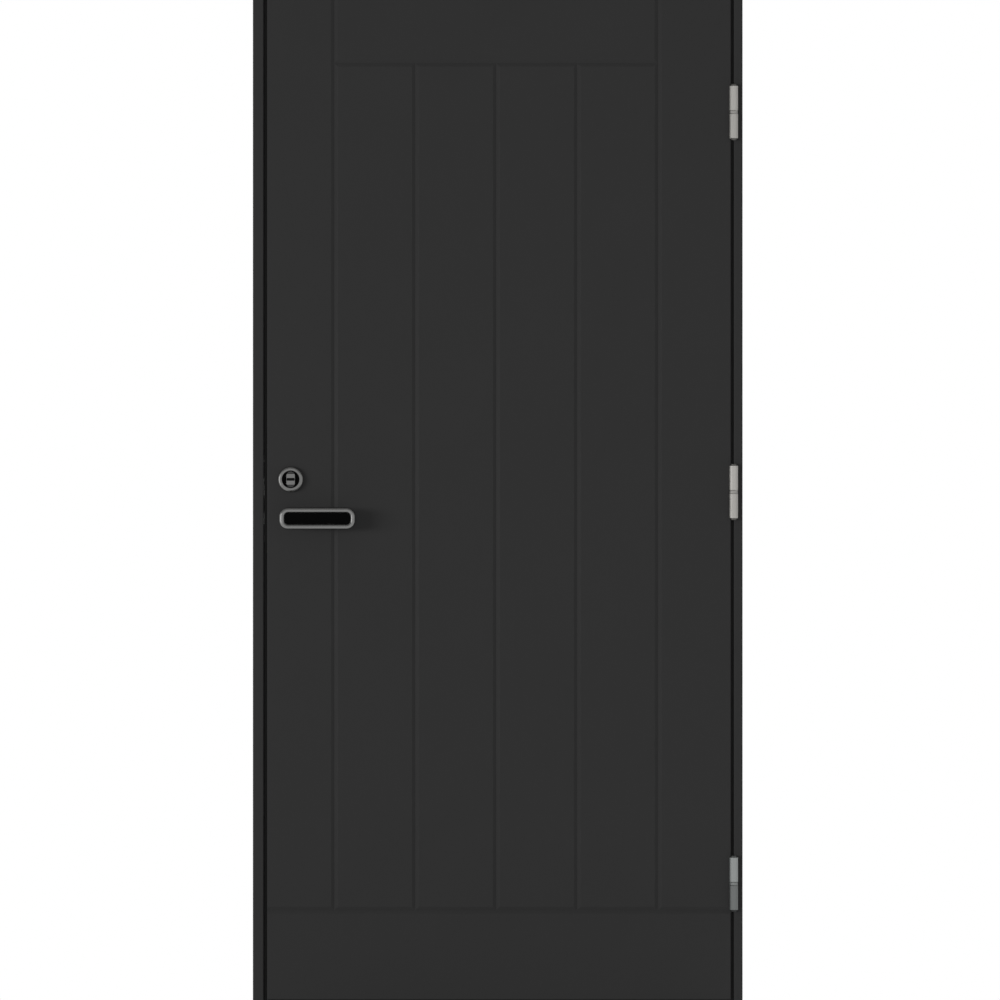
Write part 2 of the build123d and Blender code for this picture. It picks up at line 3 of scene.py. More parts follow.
import bmesh
import bpy
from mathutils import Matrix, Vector


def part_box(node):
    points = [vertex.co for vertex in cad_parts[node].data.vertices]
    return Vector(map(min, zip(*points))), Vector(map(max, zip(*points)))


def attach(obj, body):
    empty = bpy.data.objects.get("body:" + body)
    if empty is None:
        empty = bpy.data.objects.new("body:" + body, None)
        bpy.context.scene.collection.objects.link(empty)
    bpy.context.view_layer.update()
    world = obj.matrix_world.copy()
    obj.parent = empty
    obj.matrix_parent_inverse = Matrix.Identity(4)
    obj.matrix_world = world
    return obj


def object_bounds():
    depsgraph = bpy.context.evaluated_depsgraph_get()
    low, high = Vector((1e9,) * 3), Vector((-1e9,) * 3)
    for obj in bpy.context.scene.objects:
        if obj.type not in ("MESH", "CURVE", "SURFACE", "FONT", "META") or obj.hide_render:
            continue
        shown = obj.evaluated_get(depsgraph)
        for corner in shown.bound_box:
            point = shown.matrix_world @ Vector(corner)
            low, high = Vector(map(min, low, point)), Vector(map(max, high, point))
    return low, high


bl_info = {
    "name": "Shed door finishes",
    "version": (1, 0, 0),
    "blender": (4, 5, 0),
    "location": "View3D > Sidebar > Shed door",
    "description": "Paints a shed door, finishes its metal and seals, drives its screws and sets a studio",
    "category": "Object",
}

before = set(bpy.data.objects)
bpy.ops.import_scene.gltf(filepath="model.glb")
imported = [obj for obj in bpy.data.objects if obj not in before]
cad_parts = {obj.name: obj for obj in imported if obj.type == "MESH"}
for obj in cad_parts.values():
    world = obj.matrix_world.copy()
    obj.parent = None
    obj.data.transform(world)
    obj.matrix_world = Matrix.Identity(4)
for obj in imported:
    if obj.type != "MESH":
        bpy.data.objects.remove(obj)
cad_low, cad_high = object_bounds()

# Hinges by name, and solids of the door that share a finish
HINGES = ("top", "middle", "bottom")
PAINTED_LEAF = ("outer_skin", "inner_skin", "lock_stile", "hinge_stile", "top_rail", "bottom_rail")
PAINTED_FRAME = ("lock_jamb", "hinge_jamb", "frame_head", "threshold")
SIDE_SEALS = ("lock_side_seal", "hinge_side_seal")
LEVEL_SEALS = ("head_seal", "threshold_seal")
LOCK_STEEL = ("mortise_lock", "latch_bolt", "dead_bolt", "strike_plate")
TURNED_AT_CYLINDER = ("cylinder_ring", "thumb_turn_ring", "thumb_turn")
TURNED_AT_HANDLE = ("outer_rose", "inner_rose")
LEVERS = ("outer_lever", "inner_lever")
INLAYS = ("outer_grip_inlay", "inner_grip_inlay")

# Grooves of the outer skin: middles from the skin's edges, half width, and depth of the face they are in
FIRST_GROOVE = 0.136
LAST_GROOVE = 0.148
GROOVE_SPACES = 4
UPPER_GROOVE = 0.136
LOWER_GROOVE = 0.1815
HALF_GROOVE = 0.007
FACE_DEPTH = 0.0012

# Share of its colour that a finish has at its darkest and lightest places
PAINT_SPREAD = (0.93, 1.07)
METAL_SPREAD = (0.9, 1.1)
PLASTIC_SPREAD = (0.8, 1.25)
RUBBER_SPREAD = (0.8, 1.3)

# How far roughness varies to both sides, and the part of each pattern that it follows
PAINT_UNEVEN = 0.04
METAL_UNEVEN = 0.05
PLASTIC_UNEVEN = 0.05
RUBBER_UNEVEN = 0.075
FILM_RANGE = (0.25, 0.75)
LINES_RANGE = (0.3, 0.7)

# Patterns: streaks and patches to the metre, where lines grow faint, relief of the paint, slant of the lines
STREAK_SCALE = (260.0, 260.0, 7.0)
LINE_PATCHES = 45.0
FAINT_RANGE = (0.25, 0.65)
FAINTEST_LINE = 0.45
DUST_PATCHES = 70.0
ARRIS_HIGHLIGHT_PATCHES = 38.0
PATCH_RANGE = (0.35, 0.7)
PAINT_RELIEF = 0.5
TURNED_SLANT = 0.8
DRAWN_SLANT = 0.7

# Wear and painted light: dust on faces that look up, and a painted highlight, partly wear, along the arrises
# of the grooves
DUST_TILT = (0.55, 0.95)
DUST_SHARE = 0.12
DUST_COLOUR = (0.11, 0.105, 0.095, 1.0)
# Painted highlight along the groove arrises: its share, and how much lighter than the paint it is
ARRIS_HIGHLIGHT_SHARE = 0.35
ARRIS_HIGHLIGHT_BRIGHTNESS = 1.6

# Run of the fine lines in metal and rubber
LEVEL = "level"
UPRIGHT = "upright"
TURNED = "turned about the door's depth"

# Metal: share of the colour on its darker pieces, painted shade on the hinge caps among them, and roughness
# where it is neither plated nor satin
LOWER_SHARE = 0.95
# Share of the zinc colour on the bottom hinge's frame half, darker than on the others
BOTTOM_LOWER_SHARE = 0.58
BEARING_SHARE = 0.78
# Painted shade on the hinge caps: share of the zinc colour there, and the blur of its edge
CAP_SHADE_SHARE = 0.25
CAP_SHADE_BLUR = 0.0002
# Painted shade: share of the black on the plug at the floor of the keyway
PLUG_SHADE_SHARE = 0.3
BEARING_ROUGHNESS = 0.55
BLACK_ROUGHNESS = 0.45
STEEL_ROUGHNESS = 0.32
SCREW_ROUGHNESS = 0.36

# Rubber and plastic: roughness, gloss, width and depth of the grain
RUBBER_ROUGHNESS = 0.625
RUBBER_GLOSS = 0.25
RUBBER_PITCH = 0.0006
RUBBER_DEPTH = 0.00003
INLAY_GLOSS = 0.02
INLAY_GRAIN = 0.0006
INLAY_DEPTH = 0.00003
LINER_ROUGHNESS = 0.7
LINER_GLOSS = 0.04
LINER_GRAIN = 0.0009
LINER_DEPTH = 0.00005
GRAIN_CLOUD = 0.03

# Screws: rows on a hinge plate behind the leaf's face, places of the others, and forms of head and recess
SCREW_ROWS = (0.0245, 0.0115)
SCREWS_PER_PLATE = 4
FOREND_INSET = 0.011
GRUB_DROP = 0.01
GRUB_REACH = 0.012
GRUB_RISE = 0.0003
GRUB_SOCKET = 0.55
CROSS_SIDES = 28
GRUB_SIDES = 20
SOCKET_SIDES = 6
HEAD_TAPER = 0.86
CUTTER_DEPTH = 1.7
SCREW_INPUTS = (
    ("Geometry", "NodeSocketGeometry"),
    ("Head diameter", "NodeSocketFloat"),
    ("Head rise", "NodeSocketFloat"),
    ("Recess length", "NodeSocketFloat"),
    ("Recess width", "NodeSocketFloat"),
    ("Turn seed", "NodeSocketInt"),
    ("Finish", "NodeSocketMaterial"),
)

# Stage: half widths and places of the cards, places and sizes of the lamps, and the camera's film
CEILING_REACH = 9.0
WHITE_CARD_REACH = 0.26
WHITE_CARD_FROM_RING = (-0.66, -0.64, 0.0)
GREY_CARD_REACH = 1.8
GREY_CARD_PLACE = (2.5, 0.9, 1.1)
KEY_PLACE = (-19.8, -19.8, 2.2)
KEY_SIZE = (16.0, 4.4)
FILL_PLACE = (3.6, 6.4, 1.9)
FILL_SIZE = (2.6, 2.2)
FRONT_SIZE = (2.0, 2.0)
FLOOR_ROUGHNESS = 0.9
FILM_WIDTH_MM = 36.0
VIEW_REACH = 200.0
WHITE = (1.0, 1.0, 1.0, 1.0)


class PaintSettings(bpy.types.PropertyGroup):
    """Opaque paint on the leaf and the frame"""

    leaf_colour: bpy.props.FloatVectorProperty(
        name="Leaf colour",
        description="Colour of the paint on the leaf",
        subtype="COLOR",
        min=0.0,
        max=1.0,
        default=(0.0308, 0.0308, 0.0308),
    )
    frame_colour: bpy.props.FloatVectorProperty(
        name="Frame colour",
        description="Colour of the paint on the jambs, the head and the threshold",
        subtype="COLOR",
        min=0.0,
        max=1.0,
        default=(0.0298, 0.0298, 0.0298),
    )
    roughness: bpy.props.FloatProperty(
        name="Roughness",
        description="How matt the dry film is",
        subtype="FACTOR",
        min=0.0,
        max=1.0,
        default=0.5,
    )
    gloss: bpy.props.FloatProperty(
        name="Gloss",
        description="Strength of the film's reflection",
        subtype="FACTOR",
        min=0.0,
        max=1.0,
        default=0.06,
    )
    spray_size: bpy.props.FloatProperty(
        name="Spray size",
        description="Width of the pebbles that the spray leaves in the film",
        unit="LENGTH",
        default=0.0016,
    )
    spray_depth: bpy.props.FloatProperty(
        name="Spray depth",
        description="Height of the pebbles in the film",
        unit="LENGTH",
        default=0.00012,
    )
    cloud_size: bpy.props.FloatProperty(
        name="Cloud size",
        description="Width of the faint clouds in the colour",
        unit="LENGTH",
        default=0.16,
    )
    # Painted highlight: width of the lighter line along the groove arrises
    arris_highlight_width: bpy.props.FloatProperty(
        name="Highlight width",
        description="Width of the rubbed line along the arrises of the grooves",
        unit="LENGTH",
        default=0.0012,
    )


class MetalSettings(bpy.types.PropertyGroup):
    """Plated and satin metal of the hinges, the lock and the handle"""

    zinc_colour: bpy.props.FloatVectorProperty(
        name="Zinc colour",
        description="Colour of the plated hinges and screws",
        subtype="COLOR",
        min=0.0,
        max=1.0,
        default=(0.47, 0.46, 0.437),
    )
    # The bottom hinge is given a darker, bluer zinc than the others
    bottom_zinc_colour: bpy.props.FloatVectorProperty(
        name="Darker zinc colour",
        description="Colour of the bottom hinge, which the weather has dulled",
        subtype="COLOR",
        min=0.0,
        max=1.0,
        default=(0.32, 0.334, 0.33),
    )
    zinc_roughness: bpy.props.FloatProperty(
        name="Zinc roughness",
        description="How dull the plating is",
        subtype="FACTOR",
        min=0.0,
        max=1.0,
        default=0.5,
    )
    # Painted shade: height of the darkened band at each end of a hinge barrel
    cap_shade_height: bpy.props.FloatProperty(
        name="Cap height",
        description="Height of the dark cap at each end of a hinge",
        unit="LENGTH",
        default=0.004,
    )
    chrome_colour: bpy.props.FloatVectorProperty(
        name="Satin colour",
        description="Colour of the key ring, its guard and the thumb turn",
        subtype="COLOR",
        min=0.0,
        max=1.0,
        default=(0.17, 0.17, 0.167),
    )
    lever_colour: bpy.props.FloatVectorProperty(
        name="Lever colour",
        description="Colour of the levers and their roses",
        subtype="COLOR",
        min=0.0,
        max=1.0,
        default=(0.19, 0.19, 0.187),
    )
    # The plug takes a darker share of this colour as painted shade in the keyway
    black_colour: bpy.props.FloatVectorProperty(
        name="Black metal colour",
        description="Colour of the blackened key cylinder and its plug",
        subtype="COLOR",
        min=0.0,
        max=1.0,
        default=(0.06, 0.06, 0.06),
    )
    chrome_roughness: bpy.props.FloatProperty(
        name="Satin roughness",
        description="How dull the satin finish is",
        subtype="FACTOR",
        min=0.0,
        max=1.0,
        default=0.27,
    )
    steel_colour: bpy.props.FloatVectorProperty(
        name="Lock steel colour",
        description="Colour of the lock's forend, bolts and strike",
        subtype="COLOR",
        min=0.0,
        max=1.0,
        default=(0.42, 0.42, 0.41),
    )
    line_pitch: bpy.props.FloatProperty(
        name="Line pitch",
        description="Distance between the fine lines that brushing or turning leaves",
        unit="LENGTH",
        default=0.0003,
    )
    line_depth: bpy.props.FloatProperty(
        name="Line depth",
        description="Depth of the fine lines",
        unit="LENGTH",
        default=0.000012,
    )


class SoftSettings(bpy.types.PropertyGroup):
    """Black rubber and plastic"""

    rubber_colour: bpy.props.FloatVectorProperty(
        name="Rubber colour",
        description="Colour of the weather seal",
        subtype="COLOR",
        min=0.0,
        max=1.0,
        default=(0.012, 0.012, 0.012),
    )
    inlay_colour: bpy.props.FloatVectorProperty(
        name="Inlay colour",
        description="Colour of the inlay in the levers",
        subtype="COLOR",
        min=0.0,
        max=1.0,
        default=(0.0012, 0.0012, 0.0012),
    )
    inlay_roughness: bpy.props.FloatProperty(
        name="Inlay roughness",
        description="How matt the inlay is",
        subtype="FACTOR",
        min=0.0,
        max=1.0,
        default=0.32,
    )
    # Partly painted shade: the black liner is darker than plastic, for the shade in the ring's recess
    liner_colour_and_shade: bpy.props.FloatVectorProperty(
        name="Liner colour",
        description="Colour of the liner on the floor of the key ring",
        subtype="COLOR",
        min=0.0,
        max=1.0,
        default=(0.002, 0.002, 0.002),
    )


class ScrewSettings(bpy.types.PropertyGroup):
    """Countersunk screws of the plates and grub screws of the levers"""

    head_diameter: bpy.props.FloatProperty(
        name="Head diameter",
        description="Diameter of the countersunk heads",
        unit="LENGTH",
        default=0.0082,
    )
    head_rise: bpy.props.FloatProperty(
        name="Head rise",
        description="How far the heads stand out of their plate",
        unit="LENGTH",
        default=0.0007,
    )
    recess_length: bpy.props.FloatProperty(
        name="Recess length",
        description="Length of each arm pair of the cross recess",
        unit="LENGTH",
        default=0.0048,
    )
    recess_width: bpy.props.FloatProperty(
        name="Recess width",
        description="Width of the arms of the cross recess",
        unit="LENGTH",
        default=0.0011,
    )
    plate_inset: bpy.props.FloatProperty(
        name="Plate inset",
        description="Distance of the outer screws from the ends of a hinge plate",
        unit="LENGTH",
        default=0.013,
    )
    grub_diameter: bpy.props.FloatProperty(
        name="Grub screw diameter",
        description="Diameter of the grub screw under each lever's neck",
        unit="LENGTH",
        default=0.005,
    )
    turn_seed: bpy.props.IntProperty(
        name="Turn seed",
        description="Seed of the angles at which the screws came to rest",
        default=7,
    )


class StageSettings(bpy.types.PropertyGroup):
    """Floor, light and camera"""

    camera_distance: bpy.props.FloatProperty(
        name="Camera distance",
        description="Distance of the camera from the outside face",
        unit="LENGTH",
        default=20.0,
    )
    view_width: bpy.props.FloatProperty(
        name="View width",
        description="Width of the picture at the outside face",
        unit="LENGTH",
        default=2.0215,
    )
    view_middle: bpy.props.FloatVectorProperty(
        name="View middle",
        description="Where the middle of the picture falls on the outside face, across and up",
        subtype="TRANSLATION",
        size=2,
        default=(0.0046, 1.04375),
    )
    key_power: bpy.props.FloatProperty(
        name="Key lamp",
        description="Power of the soft lamp on the left",
        unit="POWER",
        default=3550.0,
    )
    fill_power: bpy.props.FloatProperty(
        name="Fill lamp",
        description="Power of the soft lamp behind the door",
        unit="POWER",
        default=480.0,
    )
    front_power: bpy.props.FloatProperty(
        name="Front lamp",
        description="Power of the lamp at the camera, which reaches into the gaps round the leaf",
        unit="POWER",
        default=870.0,
    )
    white_glow: bpy.props.FloatProperty(
        name="White card",
        description="Brightness of the small card that the key ring and the lever reflect on their left",
        min=0.0,
        max=4.0,
        default=3.4,
    )
    grey_glow: bpy.props.FloatProperty(
        name="Grey card",
        description="Brightness of the card that the hinges reflect on their right",
        min=0.0,
        max=1.0,
        default=0.65,
    )
    ceiling_glow: bpy.props.FloatProperty(
        name="Ceiling",
        description="Brightness of the ceiling that the metal reflects",
        min=0.0,
        max=1.0,
        default=0.4,
    )
    daylight: bpy.props.FloatProperty(
        name="Daylight",
        description="Strength of the even light from all round",
        min=0.0,
        max=1.0,
        subtype="FACTOR",
        default=0.3,
    )
    floor_colour: bpy.props.FloatVectorProperty(
        name="Floor colour",
        description="Colour of the floor",
        subtype="COLOR",
        min=0.0,
        max=1.0,
        default=(0.88, 0.88, 0.88),
    )
    floor_reach: bpy.props.FloatProperty(
        name="Floor reach",
        description="Half the width of the floor",
        unit="LENGTH",
        default=14.0,
    )
    fade_start: bpy.props.FloatProperty(
        name="Fade start",
        description="Distance from the door at which the floor starts to turn white",
        unit="LENGTH",
        default=0.12,
    )
    fade_end: bpy.props.FloatProperty(
        name="Fade end",
        description="Distance from the door at which the floor is white",
        unit="LENGTH",
        default=0.58,
    )
    floor_lift: bpy.props.FloatProperty(
        name="Floor lift",
        description="Share of plain white in the floor beside the door",
        subtype="FACTOR",
        min=0.0,
        max=1.0,
        default=0.4,
    )
    ceiling_height: bpy.props.FloatProperty(
        name="Ceiling height",
        description="Height of the grey ceiling that the metal reflects",
        unit="LENGTH",
        default=4.6,
    )


class DoorSettings(bpy.types.PropertyGroup):
    """All that a user may change"""

    paint: bpy.props.PointerProperty(type=PaintSettings, name="Paint", description="Opaque paint")
    metal: bpy.props.PointerProperty(type=MetalSettings, name="Metal", description="Plated and satin metal")
    soft: bpy.props.PointerProperty(type=SoftSettings, name="Rubber", description="Rubber and plastic")
    screws: bpy.props.PointerProperty(type=ScrewSettings, name="Screws", description="Screws")
    stage: bpy.props.PointerProperty(type=StageSettings, name="Stage", description="Floor, light, camera")


def node(tree, kind, inputs=None, **settings):
    """Adds a node, sets its properties, and fills or links its inputs by name or number."""
    made = tree.nodes.new(kind)
    for key, value in settings.items():
        setattr(made, key, value)
    for key, value in (inputs or {}).items():
        if isinstance(value, bpy.types.NodeSocket):
            tree.links.new(value, made.inputs[key])
        else:
            made.inputs[key].default_value = value
    return made


def math_node(tree, operation, *values):
    """One step of arithmetic; returns its result."""
    return node(tree, "ShaderNodeMath", dict(enumerate(values)), operation=operation).outputs[0]


def share_node(tree, first, second, share):
    """A share of one value and the rest of another."""
    rest = math_node(tree, "MULTIPLY", second, 1.0 - share)
    return math_node(tree, "MULTIPLY_ADD", first, share, rest)


def length_node(tree, first, second):
    """The length of a line that runs this far two ways at right angles."""
    squares = math_node(tree, "MULTIPLY_ADD", first, first, math_node(tree, "MULTIPLY", second, second))
    return math_node(tree, "SQRT", squares)


def axes_node(tree, vector):
    """The parts of a vector by axis."""
    return node(tree, "ShaderNodeSeparateXYZ", {0: vector}).outputs


def up_node(tree, height):
    """A vector that points up by a height."""
    return node(tree, "ShaderNodeCombineXYZ", {"Z": height}).outputs[0]


def ramp_node(tree, value, low, high, to_low=0.0, to_high=1.0, easing="LINEAR"):
    """A value brought from one range to another, and held at its ends."""
    ranges = {"Value": value, "From Min": low, "From Max": high, "To Min": to_low, "To Max": to_high}
    return node(tree, "ShaderNodeMapRange", ranges, interpolation_type=easing).outputs["Result"]


def noise_node(tree, vector, scale, detail=2.0):
    """Soft noise from 0 to 1 over a vector."""
    made = node(tree, "ShaderNodeTexNoise", {"Vector": vector, "Scale": scale, "Detail": detail})
    return made.outputs[0]


def tint_node(tree, factor, dark, light):
    """A colour between two others."""
    made = node(tree, "ShaderNodeMix", {0: factor, 6: dark, 7: light}, data_type="RGBA")
    return made.outputs[2]


def dimmed(colour, share):
    """A colour made darker or lighter by a share."""
    return [channel * share for channel in colour]


def shaded(colour, share):
    """A colour made darker or lighter by a share, with its alpha."""
    return (*dimmed(colour, share), 1.0)


def varied(tree, factor, colour, spread):
    """A colour that runs from its darkest to its lightest share."""
    darkest, lightest = spread
    return tint_node(tree, factor, shaded(colour, darkest), shaded(colour, lightest))


def uneven(tree, factor, span, roughness, spread):
    """A roughness that varies to both sides where a pattern runs through a span."""
    return ramp_node(tree, factor, *span, roughness - spread, roughness + spread)


def shader_group(name, inputs, outputs):
    """An empty shader group with its sockets; returns the tree, what it is given and what it puts out."""
    tree = bpy.data.node_groups.new(name, "ShaderNodeTree")
    for label, kind in inputs:
        tree.interface.new_socket(label, in_out="INPUT", socket_type=kind)
    for label in outputs:
        tree.interface.new_socket(label, in_out="OUTPUT", socket_type="NodeSocketFloat")
    return tree, tree.nodes.new("NodeGroupInput").outputs, tree.nodes.new("NodeGroupOutput").inputs


def build_film(name):
    """Sprayed film: pebbles, upright streaks of the board under it, and wide clouds."""
    inputs = (("Vector", "NodeSocketVector"), ("Pebble", "NodeSocketFloat"), ("Cloud", "NodeSocketFloat"))
    tree, given, result = shader_group(name, inputs, ("Height", "Tone", "Dullness"))
    vector = given["Vector"]
    pebbles = noise_node(tree, vector, math_node(tree, "DIVIDE", 1.0, given["Pebble"]))
    clouds = noise_node(tree, vector, math_node(tree, "DIVIDE", 1.0, given["Cloud"]), detail=3.0)
    drawn = node(tree, "ShaderNodeMapping", {"Vector": vector, "Scale": STREAK_SCALE}).outputs[0]
    streaks = noise_node(tree, drawn, 1.0, detail=3.0)
    tree.links.new(share_node(tree, streaks, pebbles, share=0.45), result["Height"])
    tree.links.new(share_node(tree, streaks, clouds, share=0.35), result["Tone"])
    tree.links.new(share_node(tree, pebbles, clouds, share=0.4), result["Dullness"])


def build_lines(name):
    """Fine lines across one coordinate, broken up along their run, as brushing or turning leaves."""
    inputs = (("Vector", "NodeSocketVector"), ("Across", "NodeSocketFloat"), ("Pitch", "NodeSocketFloat"))
    tree, given, result = shader_group(name, inputs, ("Height", "Tone"))
    turns = math_node(tree, "DIVIDE", given["Across"], given["Pitch"])
    lines = node(tree, "ShaderNodeTexNoise", {"W": turns, "Detail": 3.0}, noise_dimensions="1D").outputs[0]
    patches = noise_node(tree, given["Vector"], LINE_PATCHES, detail=3.0)
    depth = ramp_node(tree, patches, *FAINT_RANGE, to_low=FAINTEST_LINE)
    tree.links.new(math_node(tree, "MULTIPLY", lines, depth), result["Height"])
    tree.links.new(share_node(tree, lines, patches, share=0.5), result["Tone"])


def build_dust(name):
    """Dust that settles on faces that look up, thicker in patches."""
    inputs = (("Vector", "NodeSocketVector"), ("Normal", "NodeSocketVector"))
    tree, given, result = shader_group(name, inputs, ("Mask",))
    upward = ramp_node(tree, axes_node(tree, given["Normal"])["Z"], *DUST_TILT)
    patches = ramp_node(tree, noise_node(tree, given["Vector"], DUST_PATCHES, detail=4.0), *PATCH_RANGE)
    tree.links.new(math_node(tree, "MULTIPLY", upward, patches), result["Mask"])


def place_group(tree, builder, name, inputs):
    """A shared shader group placed in a material, and built on its first use."""
    if name not in bpy.data.node_groups:
        builder(name)
    return node(tree, "ShaderNodeGroup", inputs, node_tree=bpy.data.node_groups[name]).outputs


def place_film(tree, place, pebble, cloud):
    """The sprayed film in a material."""
    return place_group(tree, build_film, "Sprayed film", {"Vector": place, "Pebble": pebble, "Cloud": cloud})


def place_lines(tree, place, pitch, run, centre=(0.0, 0.0)):
    """The fine lines in a material."""
    across = across_value(tree, place, run, centre)
    return place_group(tree, build_lines, "Fine lines", {"Vector": place, "Across": across, "Pitch": pitch})


def new_material(name):
    """A material with its shader, and the place of each point of the piece."""
    made = bpy.data.materials.new(name)
    made.use_nodes = True
    tree = made.node_tree
    shader = tree.nodes["Principled BSDF"]
    place = tree.nodes.new("ShaderNodeTexCoord").outputs["Object"]
    return made, tree, shader, place


def feed(tree, shader, colour, roughness, height, depth, relief=1.0):
    """Links a material's varying colour, roughness and relief to its shader."""
    bump = node(tree, "ShaderNodeBump", {"Height": height, "Strength": relief, "Distance": depth})
    tree.links.new(colour, shader.inputs["Base Color"])
    tree.links.new(roughness, shader.inputs["Roughness"])
    tree.links.new(bump.outputs[0], shader.inputs["Normal"])


def dusted(tree, place, colour):
    """A colour with a little dust on the faces that look up."""
    normal = tree.nodes.new("ShaderNodeNewGeometry").outputs["Normal"]
    mask = place_group(tree, build_dust, "Settled dust", {"Vector": place, "Normal": normal})["Mask"]
    return tint_node(tree, math_node(tree, "MULTIPLY", mask, DUST_SHARE), colour, DUST_COLOUR)


def groove_arris_highlight(tree, place, width):
    """A painted highlight, partly wear, along the arrises of the upright grooves."""
    skin_low, skin_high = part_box("outer_skin")
    first = skin_low.x + FIRST_GROOVE
    last = skin_high.x - LAST_GROOVE
    pitch = (last - first) / GROOVE_SPACES
    parts = axes_node(tree, place)
    from_first = math_node(tree, "SUBTRACT", parts["X"], first)
    from_groove = math_node(tree, "PINGPONG", from_first, pitch / 2)
    from_arris = math_node(tree, "ABSOLUTE", math_node(tree, "SUBTRACT", from_groove, HALF_GROOVE))
    arris_highlight = ramp_node(tree, from_arris, 0.0, width, 1.0, 0.0)
    limits = (
        math_node(tree, "GREATER_THAN", parts["Z"], skin_low.z + LOWER_GROOVE),
        math_node(tree, "LESS_THAN", parts["Z"], skin_high.z - UPPER_GROOVE),
        math_node(tree, "LESS_THAN", parts["Y"], skin_low.y + FACE_DEPTH),
        ramp_node(tree, noise_node(tree, place, ARRIS_HIGHLIGHT_PATCHES, detail=4.0), *PATCH_RANGE),
    )
    for limit in limits:
        arris_highlight = math_node(tree, "MULTIPLY", arris_highlight, limit)
    return arris_highlight


def paint_material(name, colour, settings, highlit):
    """Sprayed opaque paint on board and timber."""
    made, tree, shader, place = new_material(name)
    film = place_film(tree, place, settings.spray_size, settings.cloud_size)
    tone = varied(tree, film["Tone"], colour, PAINT_SPREAD)
    # Painted highlight, partly wear: the groove arrises are lightened
    if highlit:
        arris_highlight = math_node(tree, "MULTIPLY", groove_arris_highlight(tree, place, settings.arris_highlight_width), ARRIS_HIGHLIGHT_SHARE)
        tone = tint_node(tree, arris_highlight, tone, shaded(colour, ARRIS_HIGHLIGHT_BRIGHTNESS))
    tone = dusted(tree, place, tone)
    dull = uneven(tree, film["Dullness"], FILM_RANGE, settings.roughness, PAINT_UNEVEN)
    shader.inputs["Specular IOR Level"].default_value = settings.gloss
    feed(tree, shader, tone, dull, film["Height"], settings.spray_depth, PAINT_RELIEF)
    return made


def across_value(tree, place, run, centre):
    """The coordinate that fine lines cross: out from a turning axis, through the door, or up."""
    parts = axes_node(tree, place)
    if run == TURNED:
        beside = math_node(tree, "SUBTRACT", parts["X"], centre[0])
        above = math_node(tree, "SUBTRACT", parts["Z"], centre[1])
        outward = length_node(tree, beside, above)
        return math_node(tree, "MULTIPLY_ADD", parts["Y"], TURNED_SLANT, outward)
    if run == UPRIGHT:
        return math_node(tree, "MULTIPLY_ADD", parts["X"], DRAWN_SLANT, parts["Y"])
    return math_node(tree, "MULTIPLY_ADD", parts["Y"], DRAWN_SLANT, parts["Z"])


def cap_shade_mask(tree, place, level, way):
    """One on a hinge's end cap, where its shade is painted, past this height going up (way 1) or down (way
    -1).
    """
    height = axes_node(tree, place)["Z"]
    past = math_node(tree, "MULTIPLY", math_node(tree, "SUBTRACT", height, level), way)
    return ramp_node(tree, past, -CAP_SHADE_BLUR, CAP_SHADE_BLUR)


def metal_material(name, colour, roughness, settings, run, centre=(0.0, 0.0), cap=None):
    """Metal with fine lines in one direction and slightly uneven plating, with painted shade on a hinge's
    end cap.
    """
    made, tree, shader, place = new_material(name)
    lines = place_lines(tree, place, settings.line_pitch, run, centre)
    tone = varied(tree, lines["Tone"], colour, METAL_SPREAD)
    if cap:
        tone = tint_node(tree, cap_shade_mask(tree, place, *cap), tone, shaded(colour, CAP_SHADE_SHARE))
    tone = dusted(tree, place, tone)
    dull = uneven(tree, lines["Tone"], LINES_RANGE, roughness, METAL_UNEVEN)
    shader.inputs["Metallic"].default_value = 1.0
    feed(tree, shader, tone, dull, lines["Height"], settings.line_depth)
    return made


def black_material(name, colour, roughness, gloss, grain, depth):
    """Moulded black plastic or rubber with a fine grain."""
    made, tree, shader, place = new_material(name)
    film = place_film(tree, place, grain, GRAIN_CLOUD)
    tone = varied(tree, film["Tone"], colour, PLASTIC_SPREAD)
    dull = uneven(tree, film["Dullness"], FILM_RANGE, roughness, PLASTIC_UNEVEN)
    shader.inputs["Specular IOR Level"].default_value = gloss
    feed(tree, shader, tone, dull, film["Height"], depth)
    return made


def seal_material(name, colour, run):
    """Extruded rubber with faint lines along its length."""
    made, tree, shader, place = new_material(name)
    lines = place_lines(tree, place, RUBBER_PITCH, run)
    tone = dusted(tree, place, varied(tree, lines["Tone"], colour, RUBBER_SPREAD))
    dull = uneven(tree, lines["Tone"], LINES_RANGE, RUBBER_ROUGHNESS, RUBBER_UNEVEN)
    shader.inputs["Specular IOR Level"].default_value = RUBBER_GLOSS
    feed(tree, shader, tone, dull, lines["Height"], RUBBER_DEPTH)
    return made


def finish_nodes(names, material):
    """Gives solids of the door their material."""
    for name in names:
        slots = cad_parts[name].material_slots
        if not slots:
            raise RuntimeError(f"{name} has no material slot")
        for slot in slots:
            slot.material = material


def turning_centre(low, high):
    """Where the axis of a turned piece stands, across and up, from the corners of its box."""
    return (low.x + high.x) / 2, (low.z + high.z) / 2


def new_piece(name, data):
    """An object at the origin with this mesh, lamp or camera."""
    made = bpy.data.objects.new(name, data)
    bpy.context.scene.collection.objects.link(made)
    return made


class SHEDDOOR_OT_paint(bpy.types.Operator):
    """Paint the leaf and the frame"""

    bl_idname = "sheddoor.paint"
    bl_label = "Paint the leaf and frame"

    def execute(self, context):
        paint = context.scene.shed_door.paint
        finish_nodes(PAINTED_LEAF, paint_material("Leaf paint", paint.leaf_colour, paint, True))
        finish_nodes(PAINTED_FRAME, paint_material("Frame paint", paint.frame_colour, paint, False))
        return {"FINISHED"}


class SHEDDOOR_OT_seals(bpy.types.Operator):
    """Give the weather seal its rubber"""

    bl_idname = "sheddoor.seals"
    bl_label = "Finish the seals"

    def execute(self, context):
        colour = context.scene.shed_door.soft.rubber_colour
        finish_nodes(SIDE_SEALS, seal_material("Upright seal rubber", colour, UPRIGHT))
        finish_nodes(LEVEL_SEALS, seal_material("Level seal rubber", colour, LEVEL))
        return {"FINISHED"}


